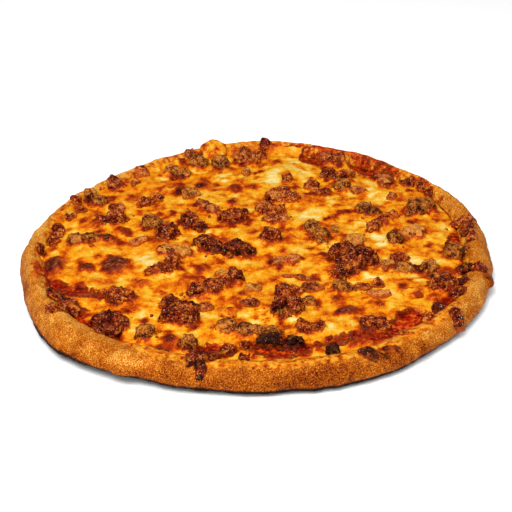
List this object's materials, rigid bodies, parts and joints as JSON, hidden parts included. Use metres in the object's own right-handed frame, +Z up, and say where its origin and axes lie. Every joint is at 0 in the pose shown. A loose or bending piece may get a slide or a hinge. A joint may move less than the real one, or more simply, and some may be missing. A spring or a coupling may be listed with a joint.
{
  "type": "meat lovers pizza",
  "caption": "Whole round pizza with a raised browned crust, tomato sauce, melted browned cheese and chunks of sausage, ground beef, bacon and ham; lies flat.",
  "frame": {"origin": "bottom centre of the bounding box, on the surface the pizza lies on", "axes": "+Z up through the pizza; +X to the right and -Y to the front as pictured"},
  "size_m": [0.3442, 0.3484, 0.0263],
  "materials": {
    "crust": "baked dough, golden tan and sandy, darker brown at the lower edge",
    "sauce": "dark red cooked tomato sauce, moist and glossy",
    "cheese": "melted cheese, orange-yellow with cream patches and red-brown browned blisters, oily",
    "sausage": "cooked crumbled sausage, tan to olive brown, granular",
    "beef": "well browned ground beef, dark red-brown, granular with moist specks",
    "bacon": "crisp bacon pieces, dark red to scorched black, moist",
    "ham": "baked ham pieces, mauve pink to brown"
  },
  "bodies": {
    "root": {"crust": "crust", "sauce": "sauce", "cheese": "cheese", "sausage_01": "sausage", "sausage_02": "sausage", "sausage_03": "sausage", "sausage_04": "sausage", "sausage_05": "sausage", "sausage_06": "sausage", "sausage_07": "sausage", "sausage_08": "sausage", "sausage_09": "sausage", "sausage_10": "sausage", "sausage_11": "sausage", "sausage_12": "sausage", "sausage_13": "sausage", "sausage_14": "sausage", "sausage_15": "sausage", "sausage_16": "sausage", "sausage_17": "sausage", "sausage_18": "sausage", "sausage_19": "sausage", "sausage_20": "sausage", "sausage_21": "sausage", "beef_01": "beef", "beef_02": "beef", "beef_03": "beef", "beef_04": "beef", "beef_05": "beef", "beef_06": "beef", "beef_07": "beef", "beef_08": "beef", "beef_09": "beef", "beef_10": "beef", "beef_11": "beef", "beef_12": "beef", "beef_13": "beef", "beef_14": "beef", "beef_15": "beef", "beef_16": "beef", "beef_17": "beef", "beef_18": "beef", "beef_19": "beef", "bacon_01": "bacon", "bacon_02": "bacon", "bacon_03": "bacon", "bacon_04": "bacon", "bacon_05": "bacon", "bacon_06": "bacon", "bacon_07": "bacon", "bacon_08": "bacon", "bacon_09": "bacon", "bacon_10": "bacon", "bacon_11": "bacon", "ham_01": "ham", "ham_02": "ham", "ham_03": "ham", "ham_04": "ham", "ham_05": "ham", "ham_06": "ham"}
  },
  "joints": []
}
